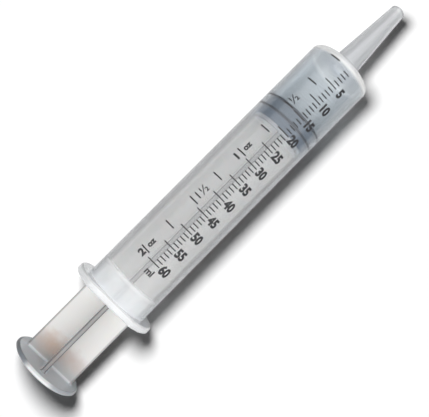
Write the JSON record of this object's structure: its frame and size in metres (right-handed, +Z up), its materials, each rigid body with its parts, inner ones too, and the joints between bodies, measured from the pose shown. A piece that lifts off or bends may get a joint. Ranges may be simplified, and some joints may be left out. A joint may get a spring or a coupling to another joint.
{
  "type": "catheter tip syringe",
  "caption": "Large catheter tip syringe: clear barrel with finger flange and long tapered nozzle, cross-ribbed plunger rod and two-ring rubber stopper that slides in the bore.",
  "frame": {"origin": "on the table under the middle of the syringe as it lies, with the plunger drawn to about 15 ml", "axes": "+X along the syringe's axis towards the nozzle's mouth, +Z up from the table through the printed scale, Y across the finger wings"},
  "size_m": [0.2086, 0.0388, 0.0317],
  "materials": {
    "barrel_clear": "translucent natural polypropylene, satin",
    "rod_natural": "translucent natural polypropylene, satin",
    "stopper_rubber": "smooth grey rubber"
  },
  "bodies": {
    "barrel": {"barrel": "barrel_clear"},
    "stopper": {"stopper": "stopper_rubber"},
    "plunger_rod": {"plunger_rod": "rod_natural"}
  },
  "joints": [
    {"name": "plunger_slide", "type": "slide", "parent": "barrel", "child": "stopper", "axis": [1, 0, 0], "range_m": [-0.0842, 0.0259]},
    {"name": "plunger_turn", "type": "hinge", "parent": "stopper", "child": "plunger_rod", "pos_m": [0.03043, 0, 0.01587], "axis": [1, 0, 0], "continuous": true}
  ]
}
